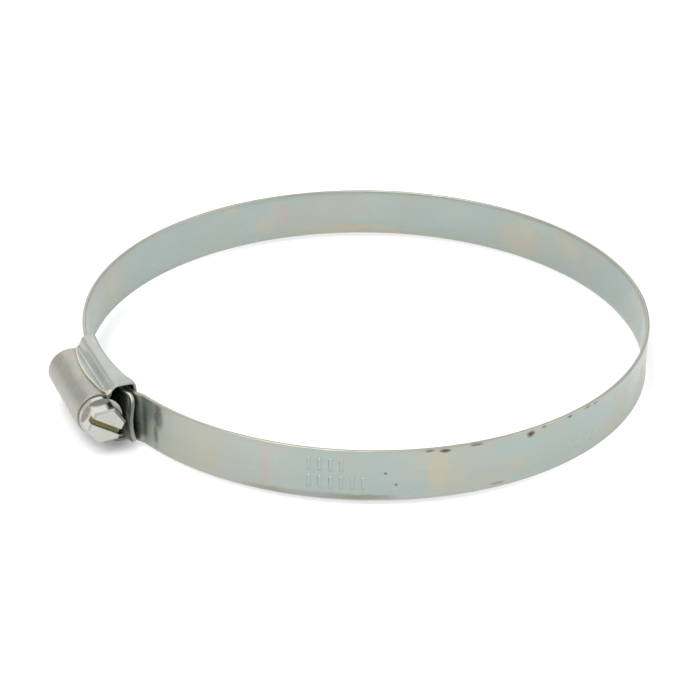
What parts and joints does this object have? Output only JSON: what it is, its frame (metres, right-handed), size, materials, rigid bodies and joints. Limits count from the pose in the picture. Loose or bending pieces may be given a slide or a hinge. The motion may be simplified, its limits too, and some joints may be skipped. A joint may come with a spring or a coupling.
{
  "type": "hose clamp",
  "caption": "Worm-drive band clamp: a slotted hexagon screw in a tube housing draws a grooved steel strip through a saddle to close the loop on a hose",
  "frame": {"origin": "on the axis of the closed loop, at the middle of the strip width", "axes": "+Z along the hose; -X towards the screw housing; the screw axis is parallel to Y and its head faces -Y"},
  "size_m": [0.139, 0.1289, 0.015],
  "materials": {
    "band_zinc": "zinc plated steel strip with a faint blue and yellow passivation bloom",
    "housing_zinc": "satin zinc plated pressing",
    "screw_zinc": "bright zinc plated screw"
  },
  "bodies": {
    "housing": {"saddle": "housing_zinc", "barrel_housing": "housing_zinc", "band_fixed_end": "band_zinc"},
    "screw": {"worm_screw": "screw_zinc"},
    "tongue": {"band_tongue": "band_zinc"},
    "link_01": {"band_link_01": "band_zinc"},
    "link_02": {"band_link_02": "band_zinc"},
    "link_03": {"band_link_03": "band_zinc"},
    "link_04": {"band_link_04": "band_zinc"},
    "link_05": {"band_link_05": "band_zinc"},
    "link_06": {"band_link_06": "band_zinc"},
    "link_07": {"band_link_07": "band_zinc"},
    "link_08": {"band_link_08": "band_zinc"},
    "link_09": {"band_link_09": "band_zinc"},
    "link_10": {"band_link_10": "band_zinc"}
  },
  "joints": [
    {"name": "tongue_travel", "type": "hinge", "parent": "housing", "child": "tongue", "pos_m": [-0.00047, -0.0011, 0], "axis": [0, 0, 1], "range_deg": [0, 102.7]},
    {"name": "screw_turn", "type": "hinge", "parent": "housing", "child": "screw", "pos_m": [-0.0695, 0, 0], "axis": [0, 1, 0], "range_deg": [-5, 14062]},
    {"name": "flex_01", "type": "hinge", "parent": "housing", "child": "link_01", "pos_m": [-0.05995, -0.02123, 0], "axis": [0, 0, 1], "range_deg": [-0.5, 13.94]},
    {"name": "flex_02", "type": "hinge", "parent": "link_01", "child": "link_02", "pos_m": [-0.04708, -0.04276, 0], "axis": [0, 0, 1], "range_deg": [-0.5, 11.9]},
    {"name": "flex_03", "type": "hinge", "parent": "link_02", "child": "link_03", "pos_m": [-0.02688, -0.05764, 0], "axis": [0, 0, 1], "range_deg": [-0.5, 10.36]},
    {"name": "flex_04", "type": "hinge", "parent": "link_03", "child": "link_04", "pos_m": [-0.0025, -0.06355, 0], "axis": [0, 0, 1], "range_deg": [-0.5, 9.33]},
    {"name": "flex_05", "type": "hinge", "parent": "link_04", "child": "link_05", "pos_m": [0.02227, -0.05957, 0], "axis": [0, 0, 1], "range_deg": [-0.5, 8.79]},
    {"name": "flex_06", "type": "hinge", "parent": "link_05", "child": "link_06", "pos_m": [0.04358, -0.04632, 0], "axis": [0, 0, 1], "range_deg": [-0.5, 8.75]},
    {"name": "flex_07", "type": "hinge", "parent": "link_06", "child": "link_07", "pos_m": [0.0581, -0.02587, 0], "axis": [0, 0, 1], "range_deg": [-0.5, 9.21]},
    {"name": "flex_08", "type": "hinge", "parent": "link_07", "child": "link_08", "pos_m": [0.06358, -0.00139, 0], "axis": [0, 0, 1], "range_deg": [-0.5, 10.18]},
    {"name": "flex_09", "type": "hinge", "parent": "link_08", "child": "link_09", "pos_m": [0.05917, 0.02331, 0], "axis": [0, 0, 1], "range_deg": [-0.5, 11.64]},
    {"name": "flex_10", "type": "hinge", "parent": "link_09", "child": "link_10", "pos_m": [0.04556, 0.04438, 0], "axis": [0, 0, 1], "range_deg": [-0.5, 13.6]}
  ],
  "couplings": [
    {"joint": "screw_turn", "follows": "tongue_travel", "ratio": 136.87},
    {"joint": "flex_01", "follows": "tongue_travel", "ratio": 0.13087},
    {"joint": "flex_02", "follows": "tongue_travel", "ratio": 0.11102},
    {"joint": "flex_03", "follows": "tongue_travel", "ratio": 0.09604},
    {"joint": "flex_04", "follows": "tongue_travel", "ratio": 0.08593},
    {"joint": "flex_05", "follows": "tongue_travel", "ratio": 0.08069},
    {"joint": "flex_06", "follows": "tongue_travel", "ratio": 0.08033},
    {"joint": "flex_07", "follows": "tongue_travel", "ratio": 0.08484},
    {"joint": "flex_08", "follows": "tongue_travel", "ratio": 0.09422},
    {"joint": "flex_09", "follows": "tongue_travel", "ratio": 0.10847},
    {"joint": "flex_10", "follows": "tongue_travel", "ratio": 0.12759}
  ]
}
